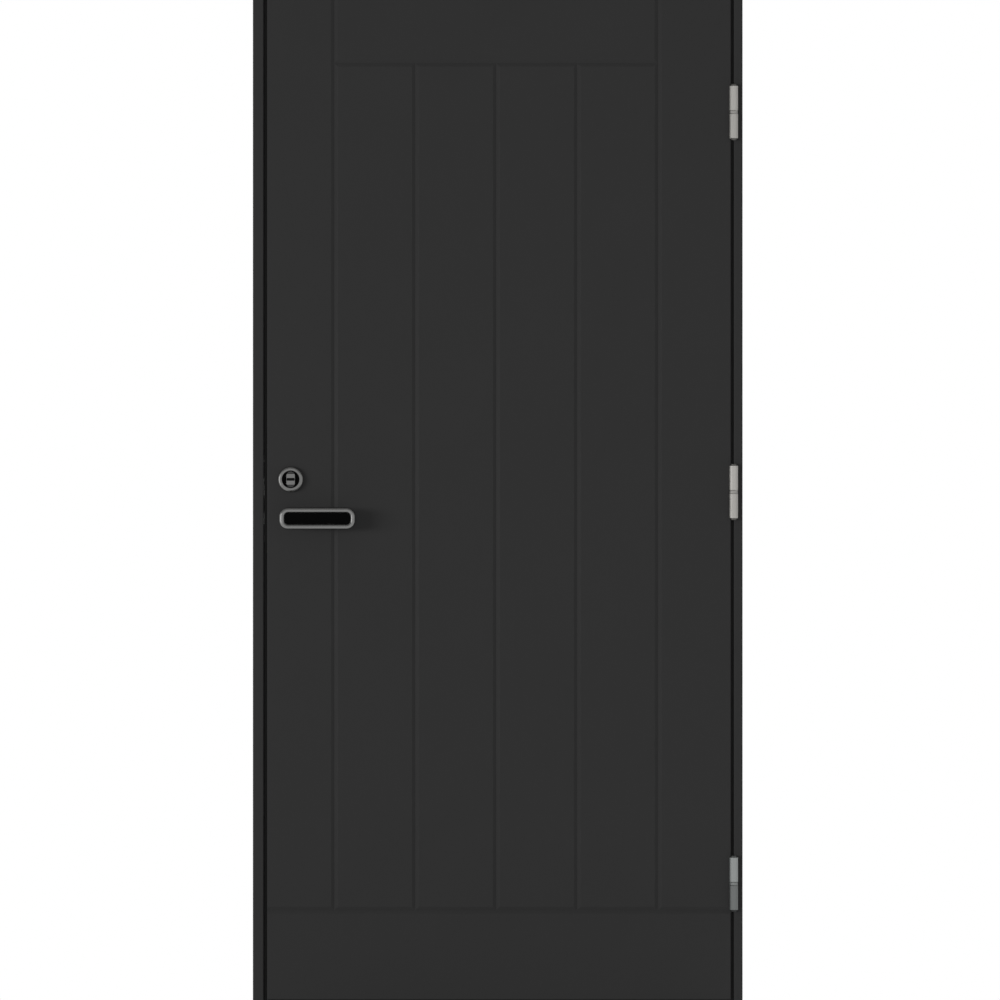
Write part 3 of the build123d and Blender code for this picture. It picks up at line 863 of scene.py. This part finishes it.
class SHEDDOOR_OT_hinges(bpy.types.Operator):
    """Give the hinges their plating"""

    bl_idname = "sheddoor.hinges"
    bl_label = "Finish the hinges"

    def execute(self, context):
        metal = context.scene.shed_door.metal
        plated = metal.zinc_roughness
        for name in HINGES:
            # The bottom hinge has its own darker, bluer zinc and a darker frame half than the others
            at_bottom = name == "bottom"
            colour = metal.bottom_zinc_colour if at_bottom else metal.zinc_colour
            darker = dimmed(colour, BOTTOM_LOWER_SHARE if at_bottom else LOWER_SHARE)
            duller = dimmed(colour, BEARING_SHARE)
            # Each hinge barrel gets painted shade on its end caps
            top = (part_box(f"{name}_hinge_door_plate")[1].z - metal.cap_shade_height, 1.0)
            foot = (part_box(f"{name}_hinge_frame_plate")[0].z + metal.cap_shade_height, -1.0)
            upper = metal_material(f"{name} hinge leaf zinc", colour, plated, metal, LEVEL, cap=top)
            lower = metal_material(f"{name} hinge frame zinc", darker, plated, metal, LEVEL, cap=foot)
            ring = metal_material(f"{name} hinge bearing", duller, BEARING_ROUGHNESS, metal, LEVEL)
            finish_nodes((f"{name}_hinge_door_plate",), upper)
            finish_nodes((f"{name}_hinge_frame_plate", f"{name}_hinge_pin"), lower)
            finish_nodes((f"{name}_hinge_bearing",), ring)
        return {"FINISHED"}


class SHEDDOOR_OT_lock(bpy.types.Operator):
    """Finish the lock, its strike and the key cylinder"""

    bl_idname = "sheddoor.lock"
    bl_label = "Finish the lock"

    def execute(self, context):
        settings = context.scene.shed_door
        metal = settings.metal
        satin = (metal.chrome_colour, metal.chrome_roughness, metal)
        centre = turning_centre(*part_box("cylinder_ring"))
        turned = metal_material("Turned satin ring", *satin, TURNED, centre)
        flat = metal_material("Satin guard", *satin, LEVEL)
        black = metal_material("Blackened cylinder", metal.black_colour, BLACK_ROUGHNESS, metal, UPRIGHT)
        # The plug at the floor of the keyway is darkened as painted shade in the slot
        plug_shade_colour = dimmed(metal.black_colour, PLUG_SHADE_SHARE)
        plug = metal_material("Blackened plug", plug_shade_colour, BLACK_ROUGHNESS, metal, UPRIGHT)
        steel = metal_material("Lock steel", metal.steel_colour, STEEL_ROUGHNESS, metal, UPRIGHT)
        # Black liner, darkened further as painted shade in the ring's recess
        liner = black_material(
            "Liner", settings.soft.liner_colour_and_shade, LINER_ROUGHNESS, LINER_GLOSS, LINER_GRAIN, LINER_DEPTH
        )
        finish_nodes(TURNED_AT_CYLINDER, turned)
        finish_nodes(("key_guard",), flat)
        finish_nodes(("lock_cylinder",), black)
        finish_nodes(("cylinder_plug",), plug)
        finish_nodes(LOCK_STEEL, steel)
        finish_nodes(("cylinder_liner",), liner)
        return {"FINISHED"}


class SHEDDOOR_OT_handle(bpy.types.Operator):
    """Finish the levers, their inlays and the roses"""

    bl_idname = "sheddoor.handle"
    bl_label = "Finish the handle"

    def execute(self, context):
        settings = context.scene.shed_door
        metal = settings.metal
        soft = settings.soft
        satin = (metal.lever_colour, metal.chrome_roughness, metal)
        centre = turning_centre(*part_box("outer_rose"))
        turned = metal_material("Turned satin rose", *satin, TURNED, centre)
        brushed = metal_material("Brushed lever", *satin, LEVEL)
        inlay = black_material(
            "Grip inlay", soft.inlay_colour, soft.inlay_roughness, INLAY_GLOSS, INLAY_GRAIN, INLAY_DEPTH
        )
        finish_nodes(TURNED_AT_HANDLE, turned)
        finish_nodes(LEVERS + ("spindle",), brushed)
        finish_nodes(INLAYS, inlay)
        return {"FINISHED"}


def hinge_screws(plate_inset, facing):
    """Four screws in a zigzag on each hinge plate, on the leaf's edge or in the jamb's rebate."""
    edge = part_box("hinge_stile")[1].x if facing > 0 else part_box("frame_head")[1].x
    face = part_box("outer_skin")[0].y
    places = []
    for name in HINGES:
        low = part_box(f"{name}_hinge_frame_plate")[0].z
        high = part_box(f"{name}_hinge_door_plate")[1].z
        reach = high - low - 2 * plate_inset
        for number in range(SCREWS_PER_PLATE):
            depth = SCREW_ROWS[number % len(SCREW_ROWS)]
            up = low + plate_inset + reach * number / (SCREWS_PER_PLATE - 1)
            places.append(((edge, face + depth, up), (facing, 0.0, 0.0)))
    return places


def lock_screws(piece, edge, facing):
    """One screw near each end of the forend or the strike."""
    low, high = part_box(piece)
    through = (low.y + high.y) / 2
    levels = (low.z + FOREND_INSET, high.z - FOREND_INSET)
    return [((edge, through, up), (facing, 0.0, 0.0)) for up in levels]


def grub_screws():
    """One grub screw under the neck of each lever."""
    rose_low, rose_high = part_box("outer_rose")
    inner_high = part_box("inner_rose")[1]
    across, up = turning_centre(rose_low, rose_high)
    necks = (rose_low.y - GRUB_REACH, inner_high.y + GRUB_REACH)
    return [((across, through, up - GRUB_DROP), (0.0, 0.0, -1.0)) for through in necks]


def screw_head(tree, given, sides):
    """A low cone, sunk so far that half its height stands out of the plate."""
    radius = math_node(tree, "MULTIPLY", given["Head diameter"], 0.5)
    form = {
        "Vertices": sides,
        "Radius Top": math_node(tree, "MULTIPLY", radius, HEAD_TAPER),
        "Radius Bottom": radius,
        "Depth": math_node(tree, "MULTIPLY", given["Head rise"], 2.0),
    }
    cone = node(tree, "GeometryNodeMeshCone", form).outputs["Mesh"]
    sunk = up_node(tree, math_node(tree, "MULTIPLY", given["Head rise"], -1.0))
    return node(tree, "GeometryNodeTransform", {"Geometry": cone, "Translation": sunk}).outputs[0]


def cross_arms(tree, given, depth):
    """Two crossed bars that cut the recess of a countersunk screw, each with its turn."""
    sides = {"X": given["Recess length"], "Y": given["Recess width"], "Z": depth}
    size = node(tree, "ShaderNodeCombineXYZ", sides).outputs[0]
    bar = node(tree, "GeometryNodeMeshCube", {"Size": size}).outputs["Mesh"]
    return [(bar, 0.0), (bar, math.pi / 2)]


def six_sided_key(tree, given, depth):
    """A six-sided bar that cuts the socket of a grub screw, with its turn."""
    radius = math_node(tree, "MULTIPLY", given["Recess length"], 0.5)
    form = {"Vertices": SOCKET_SIDES, "Radius": radius, "Depth": depth}
    return [(node(tree, "GeometryNodeMeshCylinder", form).outputs["Mesh"], 0.0)]


def screw_tree(name, sides, cutters):
    """Node tree that sets a screw with its recess on each point, turned at random, in its finish."""
    tree = bpy.data.node_groups.new(name, "GeometryNodeTree")
    for label, kind in SCREW_INPUTS:
        tree.interface.new_socket(label, in_out="INPUT", socket_type=kind)
    tree.interface.new_socket("Geometry", in_out="OUTPUT", socket_type="NodeSocketGeometry")
    given = tree.nodes.new("NodeGroupInput").outputs
    result = tree.nodes.new("NodeGroupOutput").inputs
    head = screw_head(tree, given, sides)
    cut = node(tree, "GeometryNodeMeshBoolean", {"Mesh 1": head}, operation="DIFFERENCE")
    at_top = up_node(tree, given["Head rise"])
    depth = math_node(tree, "MULTIPLY", given["Head rise"], CUTTER_DEPTH)
    for cutter, turn in cutters(tree, given, depth):
        placing = {"Geometry": cutter, "Translation": at_top, "Rotation": (0.0, 0.0, turn)}
        tree.links.new(node(tree, "GeometryNodeTransform", placing).outputs[0], cut.inputs["Mesh 2"])
    facing = node(tree, "GeometryNodeInputNamedAttribute", {"Name": "facing"}, data_type="FLOAT_VECTOR")
    aligned = node(tree, "FunctionNodeAlignRotationToVector", {"Vector": facing.outputs[0]}, axis="Z")
    turn = node(
        tree,
        "FunctionNodeRandomValue",
        {"Min": (0.0, 0.0, 0.0), "Max": (0.0, 0.0, math.pi), "Seed": given["Turn seed"]},
        data_type="FLOAT_VECTOR",
    )
    turned = node(
        tree,
        "FunctionNodeRotateRotation",
        {"Rotation": aligned.outputs[0], "Rotate By": turn.outputs[0]},
        rotation_space="LOCAL",
    )
    placed = node(
        tree,
        "GeometryNodeInstanceOnPoints",
        {"Points": given["Geometry"], "Instance": cut.outputs["Mesh"], "Rotation": turned.outputs[0]},
    )
    real = node(tree, "GeometryNodeRealizeInstances", {"Geometry": placed.outputs[0]})
    coat = {"Geometry": real.outputs[0], "Material": given["Finish"]}
    tree.links.new(node(tree, "GeometryNodeSetMaterial", coat).outputs[0], result["Geometry"])
    return tree


def points_mesh(name, places):
    """Loose points, each with the direction that its screw looks in."""
    mesh = bpy.data.meshes.new(name)
    mesh.from_pydata([place for place, _ in places], [], [])
    facing = mesh.attributes.new("facing", "FLOAT_VECTOR", "POINT")
    for item, (_, direction) in zip(facing.data, places):
        item.vector = direction
    return mesh


def drive_screws(name, body, tree, places, values):
    """Sets screws on their places by the node tree and leaves one plain mesh that rides on its body."""
    holder = new_piece(f"{name}_places", points_mesh(f"{name}_places", places))
    modifier = holder.modifiers.new("Screws", "NODES")
    modifier.node_group = tree
    for item in tree.interface.items_tree:
        if item.in_out == "INPUT" and item.name in values:
            modifier[item.identifier] = values[item.name]
    view = bpy.context.evaluated_depsgraph_get()
    mesh = bpy.data.meshes.new_from_object(holder.evaluated_get(view), depsgraph=view)
    if not mesh.polygons:
        raise RuntimeError(f"the node tree made no {name}")
    mesh.name = name
    bpy.data.objects.remove(holder)
    piece = new_piece(name, mesh)
    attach(piece, body)


class SHEDDOOR_OT_screws(bpy.types.Operator):
    """Drive the screws of the plates and the grub screws of the levers"""

    bl_idname = "sheddoor.screws"
    bl_label = "Drive the screws"

    def execute(self, context):
        settings = context.scene.shed_door
        screws = settings.screws
        metal = settings.metal
        cross = screw_tree("Countersunk screws", CROSS_SIDES, cross_arms)
        socket = screw_tree("Grub screws", GRUB_SIDES, six_sided_key)
        values = {
            "Head diameter": screws.head_diameter,
            "Head rise": screws.head_rise,
            "Recess length": screws.recess_length,
            "Recess width": screws.recess_width,
            "Turn seed": screws.turn_seed,
            "Finish": metal_material("Screw zinc", metal.zinc_colour, SCREW_ROUGHNESS, metal, UPRIGHT),
        }
        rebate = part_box("frame_head")[0].x
        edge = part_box("mortise_lock")[0].x
        on_leaf = hinge_screws(screws.plate_inset, 1.0) + lock_screws("mortise_lock", edge, -1.0)
        on_frame = hinge_screws(screws.plate_inset, -1.0) + lock_screws("strike_plate", rebate, 1.0)
        drive_screws("leaf_screws", "leaf", cross, on_leaf, values)
        drive_screws("frame_screws", "frame", cross, on_frame, values)
        values["Head diameter"] = screws.grub_diameter
        values["Recess length"] = screws.grub_diameter * GRUB_SOCKET
        values["Head rise"] = GRUB_RISE
        drive_screws("grub_screws", "handle", socket, grub_screws(), values)
        return {"FINISHED"}


def soft_lamp(name, place, target, size, power):
    """A rectangular soft lamp that looks at a point and doesn't show in the metal."""
    data = bpy.data.lights.new(name, "AREA")
    data.shape = "RECTANGLE"
    data.size, data.size_y = size
    data.energy = power
    lamp = new_piece(name, data)
    lamp.location = place
    lamp.rotation_euler = (Vector(target) - Vector(place)).to_track_quat("-Z", "Y").to_euler()
    lamp.visible_glossy = False


def flat_sheet(name, reach, height):
    """A level square of the stage."""
    mesh = bpy.data.meshes.new(name)
    form = bmesh.new()
    bmesh.ops.create_grid(form, x_segments=4, y_segments=4, size=reach)
    for vert in form.verts:
        vert.co.z = height
    form.to_mesh(mesh)
    form.free()
    made = new_piece(name, mesh)
    return made


def seen_ray(tree):
    """One for a ray from the camera, or that metal or glass sends on; nought for light."""
    path = tree.nodes.new("ShaderNodeLightPath").outputs
    either = math_node(tree, "MAXIMUM", path["Is Camera Ray"], path["Is Glossy Ray"])
    return math_node(tree, "MAXIMUM", either, path["Is Transmission Ray"])


def floor_material(settings):
    """Pale floor that keeps the door's shadow near it and is plain white further off."""
    made, tree, shader, place = new_material("Studio floor")
    shader.inputs["Base Color"].default_value = (*settings.floor_colour, 1.0)
    shader.inputs["Roughness"].default_value = FLOOR_ROUGHNESS
    shader.inputs["Specular IOR Level"].default_value = 0.0
    parts = axes_node(tree, place)
    half = (cad_high.x - cad_low.x) / 2
    past_side = math_node(tree, "SUBTRACT", math_node(tree, "ABSOLUTE", parts["X"]), half)
    beside = math_node(tree, "MAXIMUM", past_side, 0.0)
    away = length_node(tree, beside, parts["Y"])
    fade = ramp_node(tree, away, settings.fade_start, settings.fade_end, easing="SMOOTHSTEP")
    lifted = math_node(tree, "MAXIMUM", fade, settings.floor_lift)
    share = math_node(tree, "MULTIPLY", lifted, seen_ray(tree))
    white = node(tree, "ShaderNodeEmission", {"Color": WHITE, "Strength": 1.0})
    mixed = node(tree, "ShaderNodeMixShader", {0: share, 1: shader.outputs[0], 2: white.outputs[0]})
    tree.links.new(mixed.outputs[0], tree.nodes["Material Output"].inputs["Surface"])
    return made


def card_material(name, strength):
    """Plain glow of a card or ceiling that is seen only in the metal."""
    made = bpy.data.materials.new(name)
    made.use_nodes = True
    tree = made.node_tree
    glow = node(tree, "ShaderNodeEmission", {"Color": WHITE, "Strength": strength})
    tree.links.new(glow.outputs[0], tree.nodes["Material Output"].inputs["Surface"])
    return made


def hang_card(name, reach, place, facing, glow):
    """A glowing square card of the stage that is seen in the metal alone."""
    card = flat_sheet(name, reach, 0.0)
    card.location = place
    card.rotation_euler = Vector(facing).to_track_quat("Z", "Y").to_euler()
    card.data.materials.append(card_material(name, glow))
    card.visible_camera = False
    card.visible_diffuse = False
    card.visible_shadow = False


def light_world(settings):
    """Even light all round, and plain white where the camera, metal or glass looks past the door."""
    world = bpy.data.worlds.new("Studio")
    bpy.context.scene.world = world
    world.use_nodes = True
    tree = world.node_tree
    tree.nodes.clear()
    soft = node(tree, "ShaderNodeBackground", {"Color": WHITE, "Strength": settings.daylight})
    white = node(tree, "ShaderNodeBackground", {"Color": WHITE, "Strength": 1.0})
    mixed = node(tree, "ShaderNodeMixShader", {0: seen_ray(tree), 1: soft.outputs[0], 2: white.outputs[0]})
    node(tree, "ShaderNodeOutputWorld", {"Surface": mixed.outputs[0]})


def set_camera(scene, settings):
    """A camera square to the outside face, with a lens that takes in the picture's width there."""
    data = bpy.data.cameras.new("camera")
    data.sensor_width = FILM_WIDTH_MM
    data.lens = data.sensor_width * settings.camera_distance / settings.view_width
    data.clip_end = VIEW_REACH
    camera = new_piece("camera", data)
    across, up = settings.view_middle
    camera.location = (across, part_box("outer_skin")[0].y - settings.camera_distance, up)
    camera.rotation_euler = (math.pi / 2, 0.0, 0.0)
    scene.camera = camera


class SHEDDOOR_OT_stage(bpy.types.Operator):
    """Lay the floor, hang the lamps and set the camera square to the outside"""

    bl_idname = "sheddoor.stage"
    bl_label = "Set the stage"

    def execute(self, context):
        scene = context.scene
        settings = scene.shed_door.stage
        floor = flat_sheet("studio_floor", settings.floor_reach, cad_low.z)
        floor.data.materials.append(floor_material(settings))
        overhead = (0.0, 0.0, settings.ceiling_height)
        hang_card("studio_ceiling", CEILING_REACH, overhead, (0.0, 0.0, -1.0), settings.ceiling_glow)
        from_ring = Vector(WHITE_CARD_FROM_RING)
        beside_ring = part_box("cylinder_ring")[0] + from_ring
        hang_card("studio_white_card", WHITE_CARD_REACH, beside_ring, -from_ring, settings.white_glow)
        hang_card("studio_grey_card", GREY_CARD_REACH, GREY_CARD_PLACE, (-1.0, 0.0, 0.0), settings.grey_glow)
        light_world(settings)
        middle = ((cad_low + cad_high) / 2).z
        before = (0.0, -settings.camera_distance, middle)
        lamps = (
            ("key_lamp", KEY_PLACE, KEY_SIZE, settings.key_power),
            ("fill_lamp", FILL_PLACE, FILL_SIZE, settings.fill_power),
            ("front_lamp", before, FRONT_SIZE, settings.front_power),
        )
        for name, place, size, power in lamps:
            soft_lamp(name, place, (0.0, 0.0, middle), size, power)
        set_camera(scene, settings)
        scene.view_settings.view_transform = "Standard"
        return {"FINISHED"}


class SHEDDOOR_PT_sidebar(bpy.types.Panel):
    """Steps and settings of the shed door"""

    bl_idname = "SHEDDOOR_PT_sidebar"
    bl_label = "Shed door"
    bl_space_type = "VIEW_3D"
    bl_region_type = "UI"
    bl_category = "Shed door"

    def draw(self, context):
        settings = context.scene.shed_door
        for step in STEPS:
            self.layout.operator(step.bl_idname)
        for group in (settings.paint, settings.metal, settings.soft, settings.screws, settings.stage):
            box = self.layout.box()
            for key in group.bl_rna.properties.keys():
                if key not in ("rna_type", "name"):
                    box.prop(group, key)


STEPS = (
    SHEDDOOR_OT_paint,
    SHEDDOOR_OT_seals,
    SHEDDOOR_OT_hinges,
    SHEDDOOR_OT_lock,
    SHEDDOOR_OT_handle,
    SHEDDOOR_OT_screws,
    SHEDDOOR_OT_stage,
)
GROUPS = (PaintSettings, MetalSettings, SoftSettings, ScrewSettings, StageSettings, DoorSettings)
CLASSES = GROUPS + STEPS + (SHEDDOOR_PT_sidebar,)


def register():
    """Registers the settings, the steps and the sidebar."""
    for entry in CLASSES:
        bpy.utils.register_class(entry)
    bpy.types.Scene.shed_door = bpy.props.PointerProperty(type=DoorSettings)


def unregister():
    """Takes out what register put in."""
    del bpy.types.Scene.shed_door
    for entry in reversed(CLASSES):
        bpy.utils.unregister_class(entry)


def main():
    """Runs every step in order."""
    register()
    bpy.ops.sheddoor.paint()
    bpy.ops.sheddoor.seals()
    bpy.ops.sheddoor.hinges()
    bpy.ops.sheddoor.lock()
    bpy.ops.sheddoor.handle()
    bpy.ops.sheddoor.screws()
    bpy.ops.sheddoor.stage()


if __name__ == "__main__":
    main()
